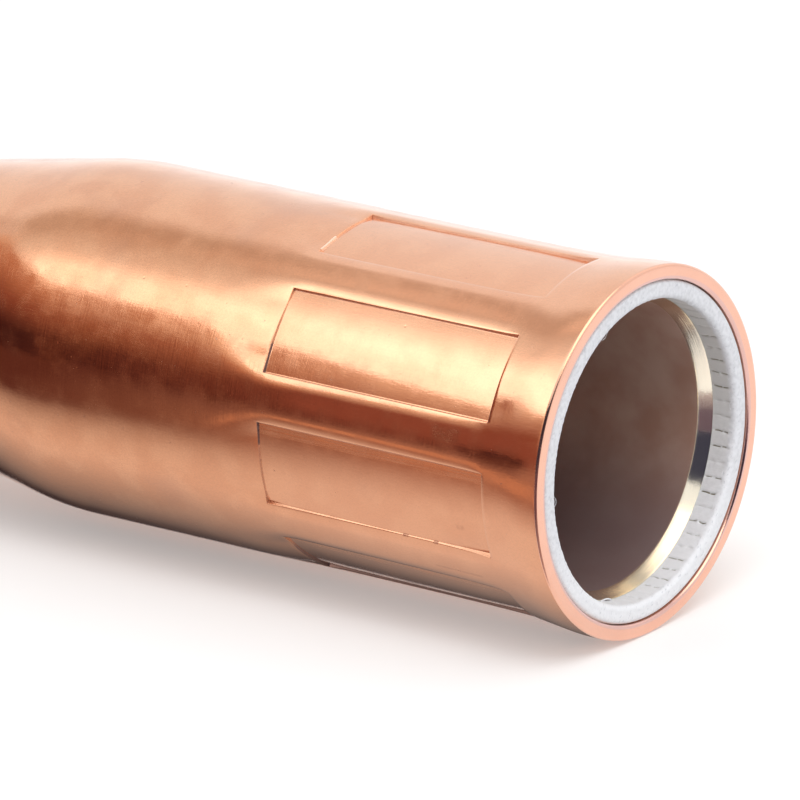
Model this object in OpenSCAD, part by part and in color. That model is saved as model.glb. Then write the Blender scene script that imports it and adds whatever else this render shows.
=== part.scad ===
// Insulated gas nozzle for a heavy-duty MIG welding torch.
// It lies on its side: the axis runs along X, with the socket mouth towards +X
// and the gas orifice towards -X. Depths are measured inwards from the rim.
// The origin is on the axis, where the plain bore of the brass insert begins.

/* [Shell] */
// Length of the nozzle from the copper rim to the nose
total_len = 74; // [66:0.5:90]
// Copper around the sleeve, which sets the outside of the body
seat_wall = 1.1; // [0.9:0.05:1.6]
// Copper around the gas chamber, ahead of the sleeve
chamber_wall = 1.8; // [1.6:0.1:2.4]
// Depth of the shoulder that the sleeve is pushed against
seat_len = 30; // [28:0.5:36]

/* [Mouth] */
// How much the mouth stands out past the body, all round
flare_rise = 0.5; // [0.2:0.05:0.9]
// Length of the straight band at the mouth
flare_band = 1; // [0.6:0.1:1.6]
// Length over which the flare fades into the body
flare_fade = 3.8; // [2.5:0.1:5]
// Bevel on the outer corner of the rim
rim_bevel = 0.25; // [0.1:0.05:0.4]
// Broken edge on the inner corner of the rim
rim_break = 0.12; // [0.05:0.01:0.2]

/* [Nose] */
// Depth at which the body turns into the taper
taper_depth = 45.5; // [42:0.5:50]
// Slope of the taper against the axis, in degrees
taper_slope = 10; // [8:0.5:13]
// Radius that rounds the shoulder at the start of the taper
shoulder_round = 16; // [5:1:25]
// Diameter of the gas orifice
orifice_d = 15.9; // [12.7:0.1:16.2]
// Copper around the orifice
nose_wall = 1.65; // [1.2:0.05:2]
// Bevel on the outer corner of the nose
nose_bevel = 0.4; // [0.1:0.05:0.6]

/* [Crimps] */
// Number of crimps pressed in around the shell
crimp_count = 8; // [6:1:10]
// Turn of the first crimp from straight up, in degrees
crimp_turn = 9.6; // [0:0.1:45]
// Depth at which the crimps begin
crimp_start = 4.8; // [3.5:0.1:6]
// Length of a crimp along the axis
crimp_len = 19; // [14:0.5:21]
// Angle that a crimp spans around the shell, in degrees
crimp_arc = 29; // [20:0.5:32]
// How deep the middle of a crimp lies under the body's surface
crimp_press = 0.45; // [0.3:0.05:0.55]
// Radius of the crimp's floor, flatter than the shell itself
crimp_floor_round = 22; // [14:1:40]
// Depth of the soft dish that each crimp draws the shell into
dish_press = 0.33; // [0.15:0.01:0.4]
// Length over which the dish fades out towards the nose
dish_fade_front = 5; // [3:0.5:7]
// Length over which the dish fades out towards the mouth
dish_fade_rear = 3; // [2:0.1:3.2]

/* [Insert and sleeve] */
// Inside diameter of the brass insert
socket_d = 20.1; // [18:0.1:20.4]
// Wall of the brass insert
insert_wall = 0.5; // [0.4:0.05:0.8]
// Depth at which the insert begins
insert_depth = 2; // [1:0.1:3]
// Length of the insert
insert_len = 26; // [22:0.5:27]
// Length of the cone that leads into the insert
lead_in_len = 0.95; // [0.5:0.05:1.5]
// Flat left at the end of the insert, outside the cone
insert_lip = 0.05; // [0.03:0.01:0.1]
// Wall of the sleeve where the crimps squeeze it
sleeve_wall = 0.8; // [0.6:0.05:1.2]
// Clearance between the shell and the sleeve, on the radius
sleeve_clear = 0.03; // [0.01:0.01:0.08]
// Clearance between the sleeve and the insert, on the radius
insert_clear = 0.02; // [0.01:0.01:0.05]
// Distance of the sleeve's end inside the rim
sleeve_inset = 0.1; // [0:0.05:0.6]
// Roundness of the sleeve's end
sleeve_round = 0.35; // [0.1:0.05:0.4]

/* [Hidden] */
$fn = 180;

// Radii, from the socket outwards
socket_r = socket_d / 2;
insert_r = socket_r + insert_wall;
sleeve_bore_r = insert_r + insert_clear;
seat_r = sleeve_bore_r + sleeve_wall + sleeve_clear;
body_r = seat_r + seat_wall;
mouth_r = body_r + flare_rise;
chamber_r = body_r - chamber_wall;
orifice_r = orifice_d / 2;
nose_r = orifice_r + nose_wall;

// The origin lies where the lead-in cone ends, so the rim stands this far in front of it
rim_x = insert_depth + lead_in_len;
flare_end = flare_band + flare_fade;
crimp_end = crimp_start + crimp_len;
crimp_floor_r = body_r - crimp_press;
dish_floor_r = body_r - dish_press;

// The taper runs from the body down to the nose, and the chamber's follows at the same slope
taper_fall = tan(taper_slope);
taper_end = taper_depth + (body_r - nose_r) / taper_fall;
chamber_taper_end = taper_depth + (chamber_r - orifice_r) / taper_fall;
shoulder_reach = shoulder_round * tan(taper_slope / 2);

// Steps of a soft curve, and steps of a round edge
soft_steps = 6;
round_steps = 4;
// Height and width to which a cutter reaches outside the shell
cutter_top = mouth_r + 2;
cutter_width = 2 * body_r * sin(crimp_arc / 2) + 1;

// A list from its end to its start
function reverse(list) = [for (i = [len(list) - 1 : -1 : 0]) list[i]];

// A soft S-curve from 0 to 1
function ease(t) = (1 - cos(180 * t)) / 2;

// Points [radius, x] of an S-curve between two depths
function soft_curve(r0, depth0, r1, depth1) = [
    for (i = [0 : soft_steps])
        let (t = i / soft_steps)
        [r0 + (r1 - r0) * ease(t), rim_x - depth0 - (depth1 - depth0) * t]
];

// Points [radius, x] of a quarter circle with its middle at [r, x]
function quarter(r, x, radius, from) = [
    for (i = [0 : round_steps])
        let (a = from + 90 * i / round_steps)
        [r + radius * cos(a), x + radius * sin(a)]
];

// The rounded shoulder, from the cylinder to the taper
function shoulder() = [
    for (i = [0 : soft_steps])
        let (a = taper_slope * i / soft_steps)
        [
            body_r - shoulder_round * (1 - cos(a)),
            rim_x - taper_depth + shoulder_reach - shoulder_round * sin(a)
        ]
];

// Turns a profile of [radius, x] points about the X axis
module turned(points) {
    rotate([0, 90, 0])
        rotate_extrude()
            polygon(points);
}

// The sleeve's seat widens at the mouth with the flare, at the same copper wall
function seat_curve(gap) = soft_curve(
    seat_r - gap + flare_rise, flare_band + seat_wall,
    seat_r - gap, flare_end + seat_wall
);

module shell_blank() {
    outside = concat(
        [[nose_r - nose_bevel, rim_x - total_len], [nose_r, rim_x - total_len + nose_bevel]],
        [[nose_r, rim_x - taper_end]],
        reverse(shoulder()),
        reverse(soft_curve(mouth_r, flare_band, body_r, flare_end)),
        [[mouth_r, rim_x - rim_bevel], [mouth_r - rim_bevel, rim_x]]
    );
    inside = concat(
        [[seat_r + flare_rise + rim_break, rim_x], [seat_r + flare_rise, rim_x - rim_break]],
        seat_curve(0),
        [[seat_r, rim_x - seat_len], [chamber_r, rim_x - seat_len]],
        [[chamber_r, rim_x - taper_depth], [orifice_r, rim_x - chamber_taper_end]],
        [[orifice_r, rim_x - total_len]]
    );
    turned(concat(outside, inside));
}

// Prism whose soft-ended flat floor draws the shell in around one crimp
module dish_cutter() {
    front = soft_curve(body_r, crimp_end + dish_fade_front, dish_floor_r, crimp_end);
    rear = soft_curve(dish_floor_r, crimp_start, mouth_r, crimp_start - dish_fade_rear);
    top = [[cutter_top, rear[soft_steps][1]], [cutter_top, front[0][1]]];
    rotate([90, 0, 0])
        linear_extrude(height = cutter_width, center = true)
            polygon([for (p = concat(front, rear, top)) [p[1], p[0]]]);
}

// Wedge with sharp edges and a slightly crowned floor, the mark of one crimping jaw
module jaw_cutter() {
    half_width = cutter_top * tan(crimp_arc / 2);
    difference() {
        translate([rim_x - crimp_end, 0, 0])
            rotate([90, 0, 90])
                linear_extrude(height = crimp_len)
                    polygon([[0, 0], [half_width, cutter_top], [-half_width, cutter_top]]);
        translate([rim_x - crimp_end - 1, 0, crimp_floor_r - crimp_floor_round])
            rotate([0, 90, 0])
                cylinder(r = crimp_floor_round, h = crimp_len + 2);
    }
}

module copper_shell() {
    color("#c9825a")
        difference() {
            shell_blank();
            for (i = [0 : crimp_count - 1])
                rotate([crimp_turn + i * 360 / crimp_count, 0, 0]) {
                    dish_cutter();
                    jaw_cutter();
                }
        }
}

// Woven fibreglass tube, a little proud of the insert at both ends
module insulator_sleeve() {
    end_x = rim_x - sleeve_inset;
    outer_r = seat_r + flare_rise - sleeve_clear;
    outer_edge = quarter(outer_r - sleeve_round, end_x - sleeve_round, sleeve_round, 0);
    inner_edge = quarter(sleeve_bore_r + sleeve_round, end_x - sleeve_round, sleeve_round, 90);
    color("#ecebe8")
        turned(concat(
            [[sleeve_bore_r, rim_x - seat_len], [seat_r - sleeve_clear, rim_x - seat_len]],
            reverse(seat_curve(sleeve_clear)),
            outer_edge,
            inner_edge
        ));
}

module brass_insert() {
    front_x = rim_x - insert_depth - insert_len;
    rear_x = rim_x - insert_depth;
    color("#b89a5c")
        turned([
            [socket_r, front_x],
            [insert_r, front_x],
            [insert_r, rear_x],
            [insert_r - insert_lip, rear_x],
            [socket_r, rear_x - lead_in_len]
        ]);
}

copper_shell();
insulator_sleeve();
brass_insert();
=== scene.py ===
import math

import bmesh
import bpy
from mathutils import Matrix, Vector, noise


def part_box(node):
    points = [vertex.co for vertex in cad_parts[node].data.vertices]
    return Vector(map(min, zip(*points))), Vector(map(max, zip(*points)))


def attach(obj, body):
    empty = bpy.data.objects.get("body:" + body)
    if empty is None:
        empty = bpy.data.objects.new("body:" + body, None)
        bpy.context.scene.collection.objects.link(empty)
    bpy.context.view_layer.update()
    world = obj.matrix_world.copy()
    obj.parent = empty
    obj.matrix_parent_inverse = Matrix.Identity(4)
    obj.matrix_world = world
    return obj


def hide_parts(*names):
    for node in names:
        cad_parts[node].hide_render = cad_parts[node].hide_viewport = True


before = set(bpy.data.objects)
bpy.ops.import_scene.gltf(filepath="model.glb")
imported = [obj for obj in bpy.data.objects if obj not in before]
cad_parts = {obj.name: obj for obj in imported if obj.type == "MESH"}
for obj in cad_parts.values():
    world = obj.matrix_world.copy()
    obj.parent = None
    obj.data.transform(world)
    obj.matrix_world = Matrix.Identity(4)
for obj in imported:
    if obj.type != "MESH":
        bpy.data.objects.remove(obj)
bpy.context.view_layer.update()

# Sizes are in millimetres and angles in degrees. A depth is measured from the rim inwards,
# and a turn goes from straight up towards the -Y side.
MM = 0.001
shell_low, shell_high = (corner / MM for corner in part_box("copper_shell"))
insert_low, insert_high = (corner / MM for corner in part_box("brass_insert"))
sleeve_low, sleeve_high = (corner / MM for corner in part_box("insulator_sleeve"))

# Mouth, body and nose of the shell
rim_x = shell_high.x
total_len = rim_x - shell_low.x
mouth_r = shell_high.z
body_r = mouth_r - 0.5
flare_start = 0.3
flare_len = 3.8
flare_power = 2.6
taper_depth = 45.5
taper_fall = math.tan(math.radians(10))
shoulder_reach = 2.4
nose_r = 9.6
orifice_r = 7.95
chamber_r = 10.7
seat_r = 11.4
seat_mouth_r = 11.9
seat_depth = 30.0
seat_widens = (5.9, 2.1)
rim_bevel = 0.25
rim_break = 0.12
nose_bevel = 0.4

# Crimps that press the shell onto the sleeve
crimp_count = 8
crimp_pitch = 360 / crimp_count
crimp_turn = 9.6
crimp_start = 4.8
crimp_end = 23.8
columns_per_crimp = 62
columns = crimp_count * columns_per_crimp
crimp_half = 20 * 360 / columns
floor_front_r = 12.1
floor_rise = 0.26
floor_sag = 0.13
floor_round = 15.0
dish_front = 0.27
dish_rear = 0.05
dish_front_len = 5.2
dish_rear_len = 3.5
dish_half = 18.5
dish_side = 10.0
dish_narrows = 0.7
edge_roll = 0.07
edge_roll_width = 0.9
wall_run = 0.055
press_limit = 0.7
edge_bevel = 0.03
wave_size = 5.0
wave_height = 0.012

# Insert and sleeve
insert_r = insert_high.z
insert_start = rim_x - insert_high.x
insert_end = rim_x - insert_low.x
socket_r = insert_r - 0.5
lead_in_len = 0.95
sleeve_start = rim_x - sleeve_high.x
sleeve_end = rim_x - sleeve_low.x
sleeve_bore_r = insert_r + 0.02
sleeve_clear = 0.03
sleeve_round = 0.35
thread_count = 62
columns_per_thread = 18
thread_pitch = 2 * math.pi * sleeve_bore_r / thread_count
gap_half_width = 0.075
gap_depth = 0.14
valley_depth = 0.09
weave_limit = 0.25
stitch_len = 0.66
slit_depths = (0.92, 1.68)
weave_end = 2.6
fuzz_size = 0.22
fuzz_height = 0.07
fuzz_depth = 0.7
fuzz_r = 11.7
fibre_thickness = 0.016
fibre_seed = 8
insert_columns = 256

# Colours and finishes
copper_bright = (0.88, 0.455, 0.265)
copper_warm = (0.82, 0.40, 0.225)
copper_stain = (0.66, 0.34, 0.22)
copper_dark = (0.42, 0.2, 0.13)
# Darker colour for the crimps' walls: painted shade
copper_wall_shade = (0.56, 0.3, 0.22)
# Light copper for a painted highlight on a crimp's end wall
copper_painted_highlight = (1.0, 0.74, 0.6)
# Lighter copper towards the mouth: a painted brighter reflection
copper_lighter_reflection = (0.94, 0.51, 0.34)
# Dark colour for painted shade on a crimp's end wall
copper_end_wall_shade = (0.14, 0.09, 0.11)
# Dark colour for painted shade in the lowest crimp
lowest_crimp_shade = (0.36, 0.25, 0.25)
copper_roughness = 0.105
rim_pink = (0.9, 0.5, 0.4)
rim_tint = (0.5, 0.4, 0.5)
brass_bright = (0.96, 0.88, 0.73)
bore_dark = (0.48, 0.285, 0.22)
bore_light = (0.58, 0.4, 0.33)
# Darker tone for the lower part of the bore
bore_low_tone = (0.2, 0.145, 0.155)
fibre_white = (0.78, 0.785, 0.825)
fibre_grey = (0.68, 0.685, 0.72)
# Paler fibre for painted light on the sleeve's lower part
fibre_lit_below = (0.93, 0.94, 0.97)
# Grey for painted shade on the sleeve's inner wall
inner_wall_shade = (0.62, 0.61, 0.6)
# Dark colour for painted shade in the slits between threads
slit_shade = (0.26, 0.23, 0.16)
fibre_stroke = (0.5, 0.51, 0.56)

# Tones of the studio: a brown room, a pale table and one large window
room_black = (0.06, 0.02, 0.02)
room_brown = (0.28, 0.1, 0.07)
room_tan = (0.62, 0.34, 0.22)
room_cream = (1.1, 0.9, 0.7)
room_navy = (0.05, 0.05, 0.08)
table_shade = (0.05, 0.035, 0.035)
table_pale = (0.85, 0.75, 0.68)
table_tan = (0.42, 0.24, 0.18)
table_brown = (0.13, 0.05, 0.04)
window_white = (2.1, 2.1, 2.0)
window_soft = (1.0, 1.0, 0.95)
window_dim = (0.65, 0.57, 0.5)
plain_white = (1.0, 1.0, 1.0)
top_light = (2.6, 2.35, 1.9)
backdrop_bright = (1.2, 1.2, 1.2)
backdrop_warm = (1.15, 1.12, 1.08)
mouth_light = (1.85, 1.8, 1.7)
mouth_shadow = (0.5, 0.4, 0.4)
mouth_dusk = (0.15, 0.1, 0.13)

# Camera
camera_azimuth = 36.5
camera_elevation = 18.39
camera_roll = -0.58
camera_distance = 0.8
camera_lens = 526.0
camera_target = Vector((-17.2, -0.9, 0.2)) * MM

floor_z = -mouth_r
floor_grey = (0.74, 0.74, 0.74, 1)
floor_glow = (0.27, 0.27, 0.27, 1)


# ---------------------------------------------------------------- camera and small helpers


def across(turn):
    """Unit vector across the axis, at a turn from straight up towards -Y."""
    angle = math.radians(turn)
    return Vector((0, -math.sin(angle), math.cos(angle)))


def place(depth, radius, turn):
    return Vector((rim_x - depth, 0, 0)) + across(turn) * radius


def add_camera():
    azimuth = math.radians(camera_azimuth)
    elevation = math.radians(camera_elevation)
    level = math.cos(elevation)
    back = Vector((math.sin(azimuth) * level, -math.cos(azimuth) * level, math.sin(elevation)))
    bpy.ops.object.camera_add(location=camera_target + back * camera_distance)
    camera = bpy.context.object
    camera.data.lens = camera_lens
    camera.data.sensor_width = 36.0
    turn = (-back).to_track_quat("-Z", "Y").to_matrix()
    turn = turn @ Matrix.Rotation(math.radians(camera_roll), 3, "Z")
    camera.rotation_euler = turn.to_euler()
    bpy.context.scene.camera = camera


add_camera()


def deselect_all():
    bpy.ops.object.select_all(action="DESELECT")


def ease(t):
    """A soft S-curve from 0 to 1."""
    t = min(max(t, 0.0), 1.0)
    return (1 - math.cos(math.pi * t)) / 2


def soft_max(a, b, softness):
    """The larger of two values, with the corner between them rounded off."""
    share = min(max(0.5 + 0.5 * (a - b) / softness, 0.0), 1.0)
    return b + (a - b) * share + softness * share * (1 - share)


def steps(start, end, count):
    """Evenly spaced values from start up to, and without, end."""
    return [start + (end - start) * i / count for i in range(count)]


def rounded(depth, radius, size, start, count):
    """A quarter circle from `start` degrees on, where 0 faces outwards and 90 the mouth."""
    turned = [math.radians(start + 90 * i / count) for i in range(count + 1)]
    return [(depth - size * math.sin(a), radius + size * math.cos(a)) for a in turned]


def start_turning(name, points, turn):
    """Draws the outline of a turned piece, as depths and radii, as a chain of edges."""
    deselect_all()
    corners = [place(depth, radius, turn) * MM for depth, radius in points]
    bpy.ops.mesh.primitive_plane_add(size=MM, location=corners[0])
    piece = bpy.context.object
    piece.name = name
    bpy.ops.object.mode_set(mode="EDIT")
    bpy.ops.mesh.select_mode(type="VERT")
    bpy.ops.mesh.select_all(action="SELECT")
    bpy.ops.mesh.merge(type="CENTER")
    for start, end in zip(corners, corners[1:]):
        bpy.ops.mesh.extrude_region_move(TRANSFORM_OT_translate={"value": end - start})
    return piece


def finish_turning(count):
    """Spins the outline once around the X axis and closes the seam."""
    bpy.ops.mesh.select_all(action="SELECT")
    bpy.ops.mesh.spin(steps=count, angle=2 * math.pi, center=(0, 0, 0), axis=(1, 0, 0))
    bpy.ops.mesh.select_all(action="SELECT")
    bpy.ops.mesh.remove_doubles(threshold=0.002 * MM)
    bpy.ops.mesh.normals_make_consistent(inside=False)
    bpy.ops.object.mode_set(mode="OBJECT")
    bpy.ops.object.transform_apply(location=True, rotation=True, scale=True)


def depth_of(point):
    return rim_x - point.x / MM


def radius_of(point):
    return math.hypot(point.y, point.z) / MM


def turn_of(point):
    return math.degrees(math.atan2(-point.y, point.z))


def crimp_angle(point):
    """Angle from the middle of the nearest crimp."""
    return (turn_of(point) - crimp_turn + crimp_pitch / 2) % crimp_pitch - crimp_pitch / 2


def push_in(piece, name, amount, most):
    """Presses the surface inwards by amount(point) millimetres, at most `most`."""
    group = piece.vertex_groups.new(name=name)
    for vertex in piece.data.vertices:
        share = amount(vertex.co) / most
        if share > 0:
            group.add([vertex.index], min(share, 1.0), "REPLACE")
    press = piece.modifiers.new(name, "DISPLACE")
    press.vertex_group = name
    press.direction = "NORMAL"
    press.mid_level = 0
    press.strength = -most * MM
    apply_modifier(piece, press)


def apply_modifier(piece, modifier):
    bpy.context.view_layer.objects.active = piece
    bpy.ops.object.modifier_apply(modifier=modifier.name)


def smooth(piece, angle=30):
    deselect_all()
    piece.select_set(True)
    bpy.context.view_layer.objects.active = piece
    bpy.ops.object.shade_smooth_by_angle(angle=math.radians(angle))


# ---------------------------------------------------------------- copper shell


def outside_radius(depth):
    """Radius of the outside before the crimps are pressed."""
    flare = (mouth_r - body_r) / (1 + (max(depth - flare_start, 0) / flare_len) ** flare_power)
    from_corner = depth - taper_depth
    if from_corner < -shoulder_reach:
        return body_r + flare
    if from_corner < shoulder_reach:
        return body_r - taper_fall * (from_corner + shoulder_reach) ** 2 / (4 * shoulder_reach)
    return soft_max(body_r - taper_fall * from_corner, nose_r, 0.1)


def seat_radius(depth):
    fade = ease((depth - seat_widens[1]) / (seat_widens[0] - seat_widens[1]))
    return seat_mouth_r + (seat_r - seat_mouth_r) * fade


def shell_outline():
    """Depths and radii around the wall: outside from the mouth, the nose, and back inside."""
    rings = steps(rim_bevel + 0.1, crimp_start, 16)
    rings += [crimp_start, crimp_start + 0.15, crimp_start + 0.5]
    rings += steps(crimp_start + 1.2, crimp_end - 1.2, 12)
    rings += [crimp_end - 1.2, crimp_end - 0.5, crimp_end - 0.15]
    rings += steps(crimp_end, crimp_end + 7, 18)
    rings += steps(crimp_end + 7, 42, 7)
    rings += steps(42, 49, 14)
    rings += steps(49, 60, 8)
    rings += steps(60, 64, 8)
    rings += steps(64, total_len - nose_bevel - 0.15, 5)
    rings += [total_len - nose_bevel - 0.15]
    outline = rounded(rim_bevel, mouth_r - rim_bevel, rim_bevel, 0, 5)[::-1]
    outline += [(depth, outside_radius(depth)) for depth in rings]
    outline += [(total_len - nose_bevel, nose_r), (total_len, nose_r - nose_bevel)]
    outline += [(total_len, nose_r - nose_bevel - 0.12), (total_len, orifice_r + 0.32)]
    outline += [(total_len, orifice_r + 0.2), (total_len - 0.2, orifice_r)]
    outline += [(total_len - 0.4, orifice_r)]
    taper_end = taper_depth + (chamber_r - orifice_r) / taper_fall
    outline += [(depth, orifice_r) for depth in steps(total_len - 1.5, taper_end, 6)]
    outline += [(taper_end, orifice_r)]
    outline += [(55, chamber_r - (55 - taper_depth) * taper_fall), (50, chamber_r - 4.5 * taper_fall)]
    outline += [(taper_depth, chamber_r), (40, chamber_r), (35, chamber_r)]
    outline += [(seat_depth + 0.1, chamber_r), (seat_depth, chamber_r), (seat_depth, seat_r)]
    outline += [(depth, seat_r) for depth in (29.9, 25, 20, 15, 10, 7)]
    outline += [(depth, seat_radius(depth)) for depth in steps(seat_widens[0], seat_widens[1], 8)]
    outline += [(depth, seat_mouth_r) for depth in (seat_widens[1], 1.0, rim_break + 0.1, rim_break)]
    outline += [(0.0, seat_mouth_r + rim_break), (0.0, seat_mouth_r + rim_break + 0.1)]
    outline += [(0.0, mouth_r - rim_bevel - 0.1), (0.0, mouth_r - rim_bevel)]
    return outline


def outside_zone(point):
    """Whether a point lies on the outside of the body, where the jaws reach it."""
    depth = depth_of(point)
    return 0.5 < depth < 42 and radius_of(point) > body_r - 0.6


def dish_press(point):
    """How far a jaw draws the shell in, as a soft hollow around and beyond its crimp."""
    if not outside_zone(point):
        return 0.0
    depth = depth_of(point)
    angle = abs(crimp_angle(point))
    narrowing = dish_narrows * max(depth - crimp_end, 0)
    share = ease((dish_half - narrowing - angle) / dish_side)
    if depth > crimp_end:
        return dish_front * max(1 - (depth - crimp_end) / dish_front_len, 0) ** 2 * share
    if depth < crimp_start:
        return dish_rear * max(1 - (crimp_start - depth) / dish_rear_len, 0) ** 2 * share
    along = (crimp_end - depth) / (crimp_end - crimp_start)
    hollow = (dish_front + (dish_rear - dish_front) * along) * share
    from_edge = max(angle - crimp_half, 0) * math.radians(1) * body_r
    roll_fade = ease(min(depth - crimp_start, crimp_end - depth) / 1.2)
    return hollow + edge_roll * max(1 - from_edge / edge_roll_width, 0) ** 2 * roll_fade


def floor_press(point):
    """How far the jaw's own face sinks into the shell."""
    depth = depth_of(point)
    angle = crimp_angle(point)
    inside = crimp_start + 0.02 < depth < crimp_end - 0.02 and abs(angle) < crimp_half - 0.1
    if not inside or radius_of(point) < seat_r + 0.3:
        return 0.0
    along = (crimp_end - depth) / (crimp_end - crimp_start)
    centre = floor_front_r + floor_rise * along - floor_sag * along ** 2 - floor_round
    turned = math.radians(angle)
    reach = math.sqrt(floor_round ** 2 - (centre * math.sin(turned)) ** 2)
    return radius_of(point) - (centre * math.cos(turned) + reach)


def in_crimp(point):
    """Whether the middle of a face lies in one of the crimps, on the outside."""
    depth = depth_of(point)
    return (
        crimp_start < depth < crimp_end
        and abs(crimp_angle(point)) < crimp_half
        and radius_of(point) > seat_r + 0.3
    )


def select_faces(piece, test):
    bpy.ops.mesh.select_mode(type="FACE")
    bpy.ops.mesh.select_all(action="DESELECT")
    mesh = bmesh.from_edit_mesh(piece.data)
    for face in mesh.faces:
        if test(face.calc_center_median()):
            face.select_set(True)
    bmesh.update_edit_mesh(piece.data)


def inset_crimps(piece):
    """Cuts the sharp-edged wall of each crimp as a narrow inset."""
    bpy.ops.object.mode_set(mode="EDIT")
    select_faces(piece, in_crimp)
    bpy.ops.mesh.inset(thickness=wall_run * MM, depth=0, use_boundary=True)
    bpy.ops.object.mode_set(mode="OBJECT")


def bevel_edges(piece, width, angle, segments=2):
    bevel = piece.modifiers.new("edges", "BEVEL")
    bevel.width = width * MM
    bevel.segments = segments
    bevel.limit_method = "ANGLE"
    bevel.angle_limit = math.radians(angle)
    apply_modifier(piece, bevel)


def add_waviness(piece):
    """The faint unevenness of drawn and hand-finished metal."""
    pattern = bpy.data.textures.new("waviness", "CLOUDS")
    pattern.noise_scale = wave_size * MM
    pattern.noise_depth = 1
    wave = piece.modifiers.new("waviness", "DISPLACE")
    wave.texture = pattern
    wave.texture_coords = "LOCAL"
    wave.direction = "NORMAL"
    wave.strength = wave_height * MM
    apply_modifier(piece, wave)


def add_copper_shell():
    piece = start_turning("shell", shell_outline(), crimp_turn)
    finish_turning(columns)
    push_in(piece, "dishes", dish_press, press_limit)
    inset_crimps(piece)
    push_in(piece, "floors", floor_press, press_limit)
    bevel_edges(piece, edge_bevel, 25)
    add_waviness(piece)
    smooth(piece)
    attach(piece, "root")
    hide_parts("copper_shell")
    return piece


# ---------------------------------------------------------------- sleeve and insert


def sleeve_outline():
    """Depths and radii around the wall: outside from the far end, the cut end, and the bore."""
    outer_r = seat_mouth_r - sleeve_clear
    inner_r = sleeve_bore_r + sleeve_round
    corner = sleeve_start + sleeve_round
    widening = steps(seat_widens[0], seat_widens[1], 6)
    across_end = steps(outer_r - sleeve_round - 0.08, inner_r + 0.04, 6)
    along_bore = steps(corner + 0.07, 2.5, 29) + [2.5, 4, 15, 28, sleeve_end]
    outline = [(sleeve_end, seat_r - sleeve_clear), (15, seat_r - sleeve_clear)]
    outline += [(depth, seat_radius(depth) - sleeve_clear) for depth in widening]
    outline += [(seat_widens[1], outer_r), (1.0, outer_r)]
    outline += rounded(corner, outer_r - sleeve_round, sleeve_round, 0, 5)
    outline += [(sleeve_start, radius) for radius in across_end]
    outline += rounded(corner, inner_r, sleeve_round, 90, 6)
    outline += [(depth, sleeve_bore_r) for depth in along_bore]
    outline += [(sleeve_end, seat_r - sleeve_clear)]
    return outline


def on_thread(point):
    """Number of the nearest gap between two threads, and the distance from it."""
    depth = depth_of(point)
    around = (turn_of(point) % 360) / 360 * thread_count
    sway = 0.08 * noise.noise(Vector((depth * 1.6, around * 0.7, 3)))
    number = round(around + sway)
    return number % thread_count, (around + sway - number) * thread_pitch


def stitch_gap(point):
    """How open the gap between two threads is here: two short slits to each gap."""
    depth = depth_of(point)
    if depth > weave_end or radius_of(point) > sleeve_bore_r + 0.12:
        return 0.0
    number, off = on_thread(point)
    luck = noise.cell(Vector((number * 1.7, 5, 0)))
    second = noise.cell(Vector((number * 2.3, 9, 0)))
    off += 0.05 * (luck - 0.5)
    front = 1 - abs(depth - slit_depths[0] - 0.1 * (luck - 0.5)) / (0.27 + 0.1 * second)
    rear = 1 - abs(depth - slit_depths[1] - 0.12 * (second - 0.5)) / (0.3 + 0.12 * luck)
    along = min(max(front, rear, 0) * 4, 1) * (0.55 + 0.45 * luck)
    return along * max(1 - abs(off) / gap_half_width, 0)


def thread_press(point):
    """Threads round off towards the gaps between them, and the slits cut in between."""
    depth = depth_of(point)
    if depth > weave_end or radius_of(point) > sleeve_bore_r + 0.25:
        return 0.0
    number, off = on_thread(point)
    side = (1 - 2 * abs(off) / thread_pitch) ** 4
    crossing = 0.5 + 0.5 * math.cos(2 * math.pi * (depth / stitch_len + number / 2))
    fade = ease((depth - 0.35) / 0.5)
    return fade * (valley_depth * side * (0.55 + 0.45 * crossing) + gap_depth * stitch_gap(point))


def on_cut_end(point):
    return depth_of(point) < fuzz_depth and radius_of(point) < fuzz_r


def fuzz(piece, name, size, strength, test):
    """Loose fibres make the cut end of the sleeve uneven."""
    group = piece.vertex_groups.new(name=name)
    group.add([v.index for v in piece.data.vertices if test(v.co)], 1.0, "REPLACE")
    pattern = bpy.data.textures.new(name, "CLOUDS")
    pattern.noise_scale = size * MM
    pattern.noise_depth = 2
    ruffle = piece.modifiers.new(name, "DISPLACE")
    ruffle.texture = pattern
    ruffle.texture_coords = "LOCAL"
    ruffle.vertex_group = name
    ruffle.strength = strength * MM
    apply_modifier(piece, ruffle)


def add_stray_fibre(turn, depth, length, curl, seed, thickness=fibre_thickness):
    """A loose fibre that curls out of the sleeve's end."""
    deselect_all()
    bpy.ops.curve.primitive_nurbs_path_add(location=(0, 0, 0))
    fibre = bpy.context.object
    points = fibre.data.splines[0].points
    for i, point in enumerate(points):
        t = i / (len(points) - 1)
        sway = noise.noise_vector(Vector((t * 2.2, seed * 3.7, 1))) * curl
        around = turn + math.degrees(length * t / sleeve_bore_r)
        lift = math.sin(math.pi * t)
        spot = place(depth + sway.x, sleeve_bore_r + 0.1 - thickness - (0.2 + sway.y) * lift, around)
        point.co = (*(spot * MM), 1)
    fibre.data.bevel_depth = thickness * MM
    fibre.data.bevel_resolution = 1
    fibre.data.resolution_u = 5
    fibre.data.use_fill_caps = True
    bpy.ops.object.convert(target="MESH")
    return bpy.context.object


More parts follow.
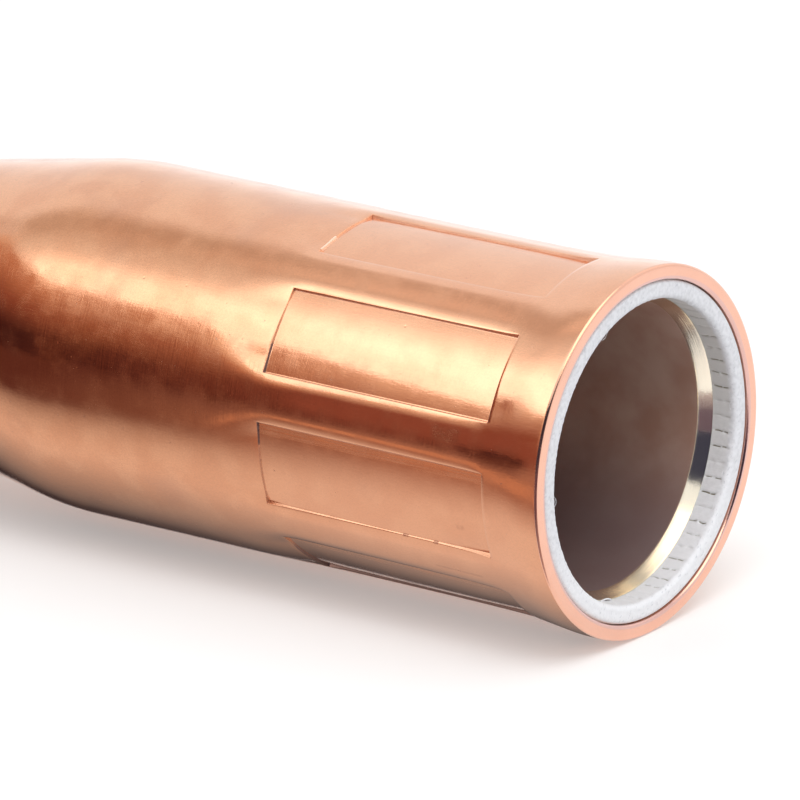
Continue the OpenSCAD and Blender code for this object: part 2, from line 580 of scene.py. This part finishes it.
def add_sleeve():
    piece = start_turning("sleeve", sleeve_outline(), 0)
    finish_turning(thread_count * columns_per_thread)
    gap = [stitch_gap(vertex.co) for vertex in piece.data.vertices]
    push_in(piece, "threads", thread_press, weave_limit)
    fuzz(piece, "fuzz", fuzz_size, fuzz_height, on_cut_end)
    piece.data.attributes.new("gap", "FLOAT", "POINT").data.foreach_set("value", gap)
    smooth(piece, 80)
    noise.seed_set(fibre_seed)
    fibres = [add_stray_fibre(147, 1.3, 1.5, 0.5, 1), add_stray_fibre(163.5, 1.95, 1.5, 0.3, 5, 0.06)]
    for i in range(13):
        turn = 27.7 * i + 11 * noise.cell(Vector((i * 1.3, 2, 0)))
        depth = 0.35 + 0.25 * noise.cell(Vector((i * 2.9, 4, 0)))
        fibres.append(add_stray_fibre(turn, depth, 0.9, 0.35, i + 2))
    deselect_all()
    for fibre in fibres:
        fibre.select_set(True)
    piece.select_set(True)
    bpy.context.view_layer.objects.active = piece
    bpy.ops.object.join()
    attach(piece, "root")
    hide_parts("insulator_sleeve")
    return piece


def insert_outline():
    """Depths and radii around the wall: the lead-in cone, the bore, and back outside."""
    bore_start = insert_start + lead_in_len
    cone_slope = 0.45 / lead_in_len
    along_cone = steps(insert_start + 0.2, bore_start - 0.08, 4)
    along_bore = (bore_start + 0.06, 3.5, 6, 12, 20, 27, insert_end - 0.2, insert_end - 0.08)
    back = (insert_end - 0.08, insert_end - 0.2, 20, 10, insert_start + 0.15, insert_start + 0.03)
    outline = [(insert_start, insert_r - 0.05), (insert_start + 0.1, insert_r - 0.1)]
    outline += [(depth, insert_r - 0.05 - (depth - insert_start) * cone_slope) for depth in along_cone]
    outline += [(bore_start - 0.05, socket_r + 0.028), (bore_start, socket_r + 0.008)]
    outline += [(depth, socket_r) for depth in along_bore]
    outline += [(insert_end, socket_r + 0.08), (insert_end, insert_r - 0.08)]
    outline += [(depth, insert_r) for depth in back]
    outline += [(insert_start, insert_r - 0.05)]
    return outline


def add_insert():
    piece = start_turning("insert", insert_outline(), 0)
    finish_turning(insert_columns)
    smooth(piece, 22)
    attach(piece, "root")
    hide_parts("brass_insert")
    return piece


# ---------------------------------------------------------------- materials


def add_node(tree, kind, inputs=None, **settings):
    made = tree.nodes.new(kind)
    for name, value in settings.items():
        setattr(made, name, value)
    for name, value in (inputs or {}).items():
        if isinstance(value, bpy.types.NodeSocket):
            tree.links.new(value, made.inputs[name])
        elif isinstance(value, tuple) and len(value) == 3 and made.inputs[name].type == "RGBA":
            made.inputs[name].default_value = (*value, 1)
        else:
            made.inputs[name].default_value = value
    return made


def work_out(tree, operation, *inputs):
    """One step of arithmetic, as a Math node."""
    return add_node(tree, "ShaderNodeMath", dict(enumerate(inputs)), operation=operation).outputs[0]


def add_all(tree, values):
    total = values[0]
    for value in values[1:]:
        total = work_out(tree, "ADD", total, value)
    return total


def times(tree, *factors):
    product = factors[0]
    for factor in factors[1:]:
        product = work_out(tree, "MULTIPLY", product, factor)
    return product


def scaled(tree, value, factor):
    return add_node(tree, "ShaderNodeVectorMath", {0: value, "Scale": factor}, operation="SCALE").outputs[0]


def fade(tree, value, low, high, start=0.0, end=1.0):
    """Goes softly from `start` to `end` while the value goes from low to high."""
    return add_node(tree, "ShaderNodeMapRange", {
        "Value": value, "From Min": low, "From Max": high, "To Min": start, "To Max": end,
    }, interpolation_type="SMOOTHSTEP").outputs["Result"]


def fade_straight(tree, value, low, high, start=0.0, end=1.0):
    """Goes evenly from `start` to `end` while the value goes from low to high."""
    return add_node(tree, "ShaderNodeMapRange", {
        "Value": value, "From Min": low, "From Max": high, "To Min": start, "To Max": end}).outputs[0]


def blend(tree, share, a, b):
    node = add_node(tree, "ShaderNodeMix", {0: share, "A": a, "B": b}, data_type="RGBA")
    return node.outputs["Result"]


def ramp(tree, value, stops):
    """Tones along a value that goes from 0 to 1."""
    node = add_node(tree, "ShaderNodeValToRGB", {0: value})
    elements = node.color_ramp.elements
    first, *between, last = stops
    elements[0].color = (*first[1], 1)
    elements[1].color = (*last[1], 1)
    for position, colour in between:
        elements.new(position).color = (*colour, 1)
    return node.outputs["Color"]


def grain(tree, where, size, detail=2.0, stretch=(1, 1, 1), turn=(0, 0, 0)):
    """Noise with features of about `size` millimetres, drawn out by `stretch`."""
    mapping = add_node(tree, "ShaderNodeMapping", {"Vector": where, "Rotation": turn, "Scale": stretch},
                       vector_type="TEXTURE")
    noisy = add_node(tree, "ShaderNodeTexNoise", {
        "Vector": mapping.outputs[0], "Scale": 1 / size, "Detail": detail})
    return noisy.outputs[0]


def start_material(name):
    material = bpy.data.materials.new(name)
    material.use_nodes = True
    return material, material.node_tree, material.node_tree.nodes["Principled BSDF"]


def place_in_mm(tree):
    """The place on a piece in millimetres, whole and as x, y and z."""
    coordinates = add_node(tree, "ShaderNodeTexCoord")
    where = scaled(tree, coordinates.outputs["Object"], 1 / MM)
    x, y, z = add_node(tree, "ShaderNodeSeparateXYZ", {0: where}).outputs
    return where, x, y, z


def millimetres(tree):
    """The place on the part in millimetres, and its depth, radius and turn."""
    where, x, y, z = place_in_mm(tree)
    depth = work_out(tree, "SUBTRACT", rim_x, x)
    radius = work_out(tree, "SQRT", add_all(tree, [times(tree, y, y), times(tree, z, z)]))
    turn = work_out(tree, "DEGREES", work_out(tree, "ARCTAN2", times(tree, y, -1), z))
    return where, depth, radius, turn


def height_of(tree, where):
    return add_node(tree, "ShaderNodeSeparateXYZ", {0: where}).outputs[2]


def window(tree, value, low, high, soft):
    """1 between low and high, fading out over `soft` on both sides."""
    return times(tree, fade(tree, value, low - soft, low), fade(tree, value, high, high + soft, 1, 0))


def bump(tree, surface, heights):
    """Bumps given as heights in millimetres."""
    node = add_node(tree, "ShaderNodeBump", {
        "Height": add_all(tree, heights), "Distance": MM, "Strength": 1.0})
    tree.links.new(node.outputs[0], surface.inputs["Normal"])


def turned_rings(tree, value, per_millimetre):
    """Uneven rings, as a turning tool leaves them."""
    return add_node(tree, "ShaderNodeTexNoise", {"W": value, "Scale": per_millimetre, "Detail": 3},
                    noise_dimensions="1D").outputs[0]


def crimp_offset(tree, turn):
    """Degrees from the middle of the nearest crimp, below zero on its upper side."""
    turned = work_out(tree, "SUBTRACT", turn, crimp_turn)
    return work_out(tree, "WRAP", turned, crimp_pitch / 2, -crimp_pitch / 2)


def edge_distance(tree, offset):
    """Millimetres outside the long edge of the nearest crimp."""
    out = work_out(tree, "SUBTRACT", work_out(tree, "ABSOLUTE", offset), crimp_half)
    return times(tree, out, math.radians(1) * body_r)


def mark(tree, depth, turn, low, high, width):
    """1 on a small mark between two (depth, turn) corners, fading out over `width` millimetres."""
    along = window(tree, depth, low[0], high[0], width)
    return times(tree, along, window(tree, turn, low[1], high[1], math.degrees(width / body_r)))


def line(tree, value, centre, width):
    """1 on a thin line where the value is `centre`, and 0 away from it."""
    return window(tree, value, centre - width / 4, centre + width / 4, width / 2)


def spots(tree, where, spacing, radius, share):
    """1 in the middle of small round spots, of which only a share is kept."""
    cells = add_node(tree, "ShaderNodeTexVoronoi", {"Vector": where, "Scale": 1 / spacing})
    luck = add_node(tree, "ShaderNodeSeparateColor", {0: cells.outputs["Color"]}).outputs[0]
    kept = fade(tree, luck, 1 - share, 1 - share * 0.7)
    near = fade(tree, times(tree, cells.outputs["Distance"], spacing), 0.2 * radius, radius, 1, 0)
    return times(tree, kept, near)


def copper_finish():
    material, tree, surface = start_material("copper")
    where, depth, radius, turn = millimetres(tree)
    walls, ends, dragged, lowest = crimp_masks(tree, depth, radius, turn)
    stains, specks = stain_and_specks(tree, where)
    smudges = fade(tree, grain(tree, where, 1.5, 4, turn=(2, 0, 1)), 0.4, 0.7)
    streaks = fade(tree, grain(tree, where, 0.1, 2, stretch=(40, 1, 1)), 0.35, 0.65)
    worn = times(tree, handling_marks(tree, depth, turn), grain(tree, where, 0.3, 3))
    # Painted highlight: a bright, rougher line on the upper part of the top crimp's far end wall
    end_wall_highlight = mark(tree, depth, turn, (23.76, 14.5), (23.9, 22.5), 0.06)
    # Painted shade on the far end wall of the crimp turned 60 to 92 degrees
    end_wall_shade = mark(tree, depth, turn, (crimp_end - 0.1, 60), (crimp_end + 0.1, 92), 0.3)
    at_rim = fade(tree, depth, 0.3, 0.1)
    inner_strip = window(tree, radius, 11.8, 12.1, 0.12)
    hue = copper_hue(tree, where, stains, specks)
    for share, colour in (
        # Painted shade: the crimps' walls are darkened, most on each crimp's upper side
        (times(tree, walls, 0.55), copper_wall_shade),
        # Painted reflection: the copper is made lighter towards the mouth, where its reflection is brighter
        (fade(tree, depth, 36, 14, 0, 0.4), copper_lighter_reflection),
        (times(tree, at_rim, 0.5), rim_pink),
        (times(tree, inner_strip, at_rim, 0.35), rim_tint),
        # Painted highlight on the top crimp's far end wall
        (end_wall_highlight, copper_painted_highlight),
        (worn, copper_dark),
        # Painted shade in the end wall's corner
        (times(tree, ends, end_wall_shade, 0.8), copper_end_wall_shade),
        # Painted shade in the corners of the lowest crimp
        (times(tree, lowest, 0.8), lowest_crimp_shade),
    ):
        hue = blend(tree, share, hue, colour)
    tree.links.new(hue, surface.inputs["Base Color"])
    rough = add_all(tree, [
        times(tree, smudges, 0.1), times(tree, stains, 0.06), times(tree, specks, 0.15),
        times(tree, walls, 0.38), times(tree, ends, 0.45), times(tree, dragged, streaks, 0.2),
        times(tree, streaks, 0.03), times(tree, end_wall_highlight, 0.3), times(tree, worn, 0.3),
        copper_roughness])
    tree.links.new(rough, surface.inputs["Roughness"])
    surface.inputs["Metallic"].default_value = 1
    surface.inputs["Coat Weight"].default_value = 0.7
    surface.inputs["Coat Roughness"].default_value = 0.12
    bump(tree, surface, copper_relief(tree, where) + [
        times(tree, dragged, streaks, -0.0007),
        times(tree, turned_rings(tree, radius, 9), at_rim, 0.012)])
    return material


def crimp_masks(tree, depth, radius, turn):
    """1 on the crimps' dull walls (weighted to each crimp's upper side, where shade is painted), their
    ends, the strips the jaws dragged, and the walls of the lowest crimp (painted shade).
    """
    offset = crimp_offset(tree, turn)
    edge = edge_distance(tree, offset)
    outside = fade(tree, radius, body_r - 0.65, body_r - 0.55)
    pressed = window(tree, depth, crimp_start + 0.03, crimp_end - 0.03, 0.03)
    pressed = times(tree, pressed, outside)
    ends = add_all(tree, [window(tree, depth, crimp_start, crimp_start + 0.07, 0.03),
                          window(tree, depth, crimp_end - 0.07, crimp_end, 0.03)])
    ends = times(tree, ends, fade(tree, edge, 0, 0.03, 1, 0), outside)
    # Painted shade: walls on a crimp's upper side get more of the darker wall colour, and more roughness,
    # than those on its lower side
    upper = fade(tree, offset, 12, -12, 0.2, 1)
    walls = times(tree, window(tree, edge, -0.08, 0, 0.03), pressed, upper)
    dragged = times(tree, window(tree, edge, -0.75, -0.12, 0.15), fade(tree, offset, 0, -1), pressed)
    # Painted shade: walls and ends on the upper side of the lowest crimp, turned 126 to 163 degrees
    lowest = add_all(tree, [times(tree, window(tree, edge, -0.15, 0.03, 0.03), pressed), ends])
    lowest = times(tree, lowest, window(tree, turn, 126, 163, 1), fade(tree, offset, -12, -5))
    return walls, ends, dragged, lowest


def copper_relief(tree, where):
    """Fine marks around, along and aslant, scratches, unevenness, pits and grains."""
    scratch = grain(tree, where, 0.5, 1, stretch=(1, 12, 12), turn=(0, 0, 0.3))
    scratched = fade(tree, grain(tree, where, 3.0, 2), 0.56, 0.66)
    return [
        times(tree, grain(tree, where, 0.12, 2, stretch=(1, 22, 22)), 0.0016),
        times(tree, grain(tree, where, 0.14, 2, stretch=(5, 1, 1)), 0.0019),
        times(tree, grain(tree, where, 0.16, 2, stretch=(6, 1, 1), turn=(0, 0, 0.6)), 0.0015),
        times(tree, line(tree, scratch, 0.5, 0.02), scratched, -0.0012),
        times(tree, grain(tree, where, 1.0, 3), 0.003),
        times(tree, spots(tree, where, 1.8, 0.14, 0.2), -0.012),
        times(tree, spots(tree, where, 0.55, 0.05, 0.1), 0.008)]


def stain_and_specks(tree, where):
    stains = fade(tree, grain(tree, where, 6.5, 5, turn=(1, 2, 0.5)), 0.54, 0.72)
    specks = fade(tree, grain(tree, where, 0.4, 3, turn=(0.4, 1, 2)), 0.70, 0.77)
    return stains, specks


def copper_hue(tree, where, stains, specks):
    """Copper with warmer patches, faint stains, small dark specks and a fine grain."""
    patches = fade(tree, grain(tree, where, 3.0, 4), 0.38, 0.62)
    hue = blend(tree, patches, copper_bright, copper_warm)
    hue = blend(tree, times(tree, stains, 0.4), hue, copper_stain)
    hue = blend(tree, times(tree, specks, 0.45), hue, copper_dark)
    fine = fade(tree, grain(tree, where, 0.13, 3), 0.3, 0.7, 0.17, 0)
    return blend(tree, fine, hue, copper_dark)


def handling_marks(tree, depth, turn):
    """A few small dull smudges and nicks on the camera side of the body."""
    return add_all(tree, [
        times(tree, mark(tree, depth, turn, (7.0, 105.9), (7.4, 106.5), 0.25), 0.4),
        times(tree, mark(tree, depth, turn, (7.2, 74.5), (8.9, 76.5), 0.5), 0.5),
        times(tree, mark(tree, depth, turn, (6.4, 124.4), (10.2, 124.6), 0.15), 0.45),
        mark(tree, depth, turn, (11.9, 113.9), (12.3, 114.4), 0.08),
        mark(tree, depth, turn, (9.4, 113.9), (9.7, 114.4), 0.08)])


def brass_finish():
    material, tree, surface = start_material("brass")
    where, depth = millimetres(tree)[:2]
    height = height_of(tree, where)
    bore_start = insert_start + lead_in_len
    bore = fade(tree, depth, bore_start - 0.02, bore_start + 0.06)
    tarnish = fade(tree, grain(tree, where, 3.5, 3), 0.3, 0.75)
    dull = blend(tree, tarnish, bore_dark, bore_light)
    # The bore is darker towards the bottom
    dull = blend(tree, fade(tree, height, -9, -1, 0.85, 0), dull, bore_low_tone)
    tree.links.new(blend(tree, bore, brass_bright, dull), surface.inputs["Base Color"])
    tree.links.new(fade(tree, bore, 0, 1, 1.0, 0.35), surface.inputs["Metallic"])
    cone_roughness = fade(tree, height, -8, -4, 0.24, 0.12)
    rough = work_out(tree, "MAXIMUM", times(tree, bore, 0.5), cone_roughness)
    tree.links.new(rough, surface.inputs["Roughness"])
    bump(tree, surface, [
        times(tree, turned_rings(tree, depth, 14), 0.003),
        times(tree, grain(tree, where, 0.8, 3), 0.006)])
    return material


def fibreglass_finish():
    material, tree, surface = start_material("fibreglass")
    where, depth = millimetres(tree)[:2]
    height = height_of(tree, where)
    gap = add_node(tree, "ShaderNodeAttribute", attribute_name="gap").outputs["Fac"]
    inside = fade(tree, depth, 0.4, 0.8)
    at_end = work_out(tree, "SUBTRACT", 1, inside)
    worn = fade(tree, grain(tree, where, 0.35, 4), 0.35, 0.7)
    strokes = grain(tree, where, 0.16, 3, stretch=(1, 2.5, 1), turn=(0.7, 0, 0))
    strokes = times(tree, fade(tree, strokes, 0.58, 0.72), at_end, 0.55)
    hue = blend(tree, worn, fibre_white, fibre_grey)
    # Painted light: the sleeve is made paler towards the bottom, where it is lit more
    hue = blend(tree, fade(tree, height, -11, 0, 0.7, 0), hue, fibre_lit_below)
    # Painted shade: the inner wall is greyed, more so towards the top
    hue = blend(tree, times(tree, inside, fade(tree, height, -8, 4, 0.05, 0.95)), hue, inner_wall_shade)
    hue = blend(tree, strokes, hue, fibre_stroke)
    # Painted shade in the slits between the threads
    hue = blend(tree, fade(tree, gap, 0.1, 0.7), hue, slit_shade)
    tree.links.new(hue, surface.inputs["Base Color"])
    surface.inputs["Roughness"].default_value = 0.75
    surface.inputs["Sheen Weight"].default_value = 0.25
    surface.inputs["Specular IOR Level"].default_value = 0.3
    bump(tree, surface, [
        times(tree, grain(tree, where, 0.09, 2, stretch=(8, 1, 1)), inside, 0.01),
        times(tree, grain(tree, where, 0.12, 4), 0.01)])
    return material


def put_on(piece, material):
    piece.data.materials.clear()
    piece.data.materials.append(material)


# ---------------------------------------------------------------- studio


def add_card(name, corners, glow_at, faces=None):
    """A glowing card that the metal reflects and the camera doesn't see.

    It glows in one colour, or in what glow_at(tree, x, y, z) makes of the place.
    """
    mesh = bpy.data.meshes.new(name)
    mesh.from_pydata([Vector(corner) * MM for corner in corners], [], faces or [range(len(corners))])
    card = bpy.data.objects.new(name, mesh)
    bpy.context.scene.collection.objects.link(card)
    material, tree, surface = start_material(name)
    tree.nodes.remove(surface)
    glow = add_node(tree, "ShaderNodeEmission")
    if callable(glow_at):
        x, y, z = place_in_mm(tree)[1:]
        tree.links.new(glow_at(tree, x, y, z), glow.inputs["Color"])
    else:
        glow.inputs["Color"].default_value = (*glow_at, 1)
    tree.links.new(glow.outputs[0], tree.nodes["Material Output"].inputs["Surface"])
    put_on(card, material)
    card.visible_camera = False
    card.visible_shadow = False
    card.visible_diffuse = False


def add_level_card(name, low, high, z, glow_at):
    """A level card between two opposite corners."""
    corners = [(low[0], low[1], z), (high[0], low[1], z), (high[0], high[1], z), (low[0], high[1], z)]
    add_card(name, corners, glow_at)


def add_floor():
    deselect_all()
    bpy.ops.mesh.primitive_plane_add(size=6, location=(0, 0, floor_z * MM))
    floor = bpy.context.object
    floor.name = "floor"
    material, tree, surface = start_material("floor")
    surface.inputs["Base Color"].default_value = floor_grey
    surface.inputs["Roughness"].default_value = 1
    surface.inputs["Specular IOR Level"].default_value = 0
    path = add_node(tree, "ShaderNodeLightPath")
    seen = work_out(tree, "MAXIMUM", path.outputs["Is Camera Ray"], path.outputs["Is Glossy Ray"])
    tree.links.new(seen, surface.inputs["Emission Strength"])
    surface.inputs["Emission Color"].default_value = floor_glow
    put_on(floor, material)


def add_world():
    world = bpy.data.worlds.new("studio")
    bpy.context.scene.world = world
    world.use_nodes = True
    tree = world.node_tree
    path = add_node(tree, "ShaderNodeLightPath").outputs
    seen = work_out(tree, "MAXIMUM", path["Is Camera Ray"], path["Is Glossy Ray"])
    seen = work_out(tree, "MAXIMUM", seen, path["Is Transmission Ray"])
    level = add_node(tree, "ShaderNodeMapRange", {"Value": seen, "To Min": 0.9, "To Max": 1.0})
    back = tree.nodes["Background"]
    back.inputs["Color"].default_value = (1, 1, 1, 1)
    tree.links.new(level.outputs[0], back.inputs["Strength"])


key_corner = Vector((-339, -49, 287))
key_along = Vector((0.657, -0.462, -0.596))
key_across = Vector((0.744, 0.527, 0.410))
key_sweep = key_across * 0.67 - key_along * 0.742
key_band = key_along * 0.67 + key_across * 0.742
key_edge = ((-330, -85), (40, -60), (190, -10), (240, 6), (330, 5))
mouth_card_y = -46
mouth_card_start = -24
mouth_card_len = 68
mouth_card_steps = 8
wall_r = 500
wall_low = -20
wall_high = 420


def measured(tree, place_xyz, axis, corner):
    """How far a place lies along an axis from a corner."""
    parts = [times(tree, value, share) for value, share in zip(place_xyz, axis)]
    return work_out(tree, "SUBTRACT", add_all(tree, parts), axis.dot(corner))


def key_glow(tree, x, y, z):
    """Bright along the lower edge, then down to a dim band, then up to plain white."""
    swept = measured(tree, (x, y, z), key_sweep, key_corner)
    tones = ramp(tree, fade_straight(tree, swept, -180, 300), [
        (0.0, window_white), (0.08, window_white), (0.22, window_soft),
        (0.42, window_dim), (0.65, window_dim), (1.0, plain_white)])
    banded = fade(tree, measured(tree, (x, y, z), key_band, key_corner), 90, 112)
    lighter = times(tree, banded, fade(tree, swept, -10, 40), 0.4)
    return scaled(tree, tones, work_out(tree, "ADD", lighter, 1))


def wall_glow(tree, x, y, z):
    """A brown room that is lighter higher up, and darkest low down on the far side."""
    height = fade_straight(tree, z, wall_low, wall_high)
    far = ramp(tree, height, [
        (0.0, room_black), (0.2, room_black), (0.45, room_brown), (0.7, room_tan), (1.0, room_tan)])
    near = ramp(tree, height, [
        (0.0, room_brown), (0.2, room_brown), (0.45, room_tan), (0.6, room_cream), (1.0, room_cream)])
    azimuth = work_out(tree, "DEGREES", work_out(tree, "ARCTAN2", y, x))
    around = work_out(tree, "ADD", azimuth, times(tree, z, 0.02))
    nearness = add_all(tree, [fade(tree, around, -172, -160, 1, 0), fade(tree, around, -129, -123)])
    side = blend(tree, nearness, far, near)
    return blend(tree, fade(tree, azimuth, -104, -98), side, room_navy)


def table_glow(tree, x, y, z):
    """The table: shade below the part, pale beside it, brown farther out, and one tan stripe."""
    outwards = fade_straight(tree, y, 0, -100)
    far = ramp(tree, outwards, [
        (0.0, table_shade), (0.05, table_shade), (0.15, table_pale), (0.18, table_pale),
        (0.34, table_brown), (1.0, table_brown)])
    near = ramp(tree, outwards, [
        (0.0, table_shade), (0.03, table_shade), (0.13, table_pale), (0.22, table_pale),
        (0.4, table_tan), (1.0, table_tan)])
    slant = work_out(tree, "SUBTRACT", x, times(tree, y, 0.6))
    tones = blend(tree, fade_straight(tree, slant, -42, -5), far, near)
    stripe = times(tree, fade(tree, slant, -22.5, -18), window(tree, y, -73, -48, 4))
    return blend(tree, stripe, tones, room_tan)


def mouth_tones(tree, x, y, z):
    """What the mouth reflects below its light: brown below, cream towards the light."""
    height = fade_straight(tree, z, 4, 34)
    return ramp(tree, height, [(0.0, room_brown), (0.35, room_brown), (1.0, room_cream)])


def back_tones(tree, x, y, z):
    """The bright backdrop, which fades up to plain white."""
    return ramp(tree, fade_straight(tree, z, 0, 250), [(0.0, backdrop_bright), (1.0, plain_white)])


def add_lit_cards():
    """The key light with two small cards of its own for the mouth, a top light and backdrops."""
    outline = key_edge + ((330, 240), (-330, 240))
    corners = [key_corner + key_along * along + key_across * across for along, across in outline]
    add_card("key_softbox", corners, key_glow)
    add_card("mouth_softbox", mouth_card_corners(), mouth_light)
    below = ((-17, 3.5), (-17, 25.8), (-24, 26.3), (-43, 32.3), (-43, 3.5))
    add_card("mouth_shade", [(x, mouth_card_y - 0.3, z) for x, z in below], mouth_tones)
    add_level_card("top_softbox", (40, -248), (600, 200), 400, top_light)
    backdrop = [(-800, 300, -60), (200, 900, -60), (200, 900, 250), (-800, 300, 250)]
    add_card("back_glow", backdrop, back_tones)
    leaning = [(-150, 700, 255), (300, 700, 255), (300, 500, 800), (-150, 500, 800)]
    add_card("back_high", leaning, backdrop_warm)


def mouth_card_corners():
    """A strip that widens away from the mouth: curved below and straight above."""
    reach = [mouth_card_len * i / mouth_card_steps for i in range(mouth_card_steps + 1)]
    low = [(mouth_card_start - along, 25.3 + 0.25 * along + 0.0035 * along ** 2) for along in reach]
    high = [(mouth_card_start - along, 28 + 0.7 * along) for along in reversed(reach[1:])]
    return [(x, mouth_card_y, z) for x, z in low + high]


def shade_tones(tree, x, y, z):
    """Shade in front of the mouth, which lightens towards the part."""
    outwards = fade_straight(tree, y, -14, -64)
    return ramp(tree, outwards, [(0.0, mouth_shadow), (0.35, mouth_dusk), (1.0, mouth_dusk)])


def add_mouth_lamp():
    """A soft lamp over the mouth, which only dull surfaces feel."""
    place_mm = Vector((150, -150, 400))
    bpy.ops.object.light_add(type="AREA", location=place_mm * MM)
    lamp = bpy.context.object
    lamp.name = "mouth_lamp"
    lamp.data.size = 0.25
    lamp.data.energy = 0.75
    lamp.rotation_euler = (-place_mm).to_track_quat("-Z", "Y").to_euler()
    lamp.visible_glossy = False


def add_dark_cards():
    """A wall of cards around the camera side, and mats for what the part sees on the table."""
    turns = [math.radians(azimuth) for azimuth in range(185, 354, 12)]
    feet = [(wall_r * math.cos(turn), wall_r * math.sin(turn)) for turn in turns]
    corners = [(x, y, wall_low) for x, y in feet]
    corners += [(x, y, wall_high if i < 7 else 340) for i, (x, y) in enumerate(feet)]
    count = len(feet)
    faces = [(i, i + 1, count + i + 1, count + i) for i in range(count - 1)]
    add_card("dark_wall", corners, wall_glow, faces)
    add_level_card("table", (-500, -3.2), (1, -500), floor_z + 0.1, table_glow)
    add_level_card("front_shade", (3, -14), (400, -450), floor_z + 0.1, shade_tones)


shell = add_copper_shell()
put_on(shell, copper_finish())
put_on(add_sleeve(), fibreglass_finish())
put_on(add_insert(), brass_finish())
add_floor()
add_world()
add_lit_cards()
add_dark_cards()
add_mouth_lamp()
bpy.context.scene.view_settings.view_transform = "Standard"
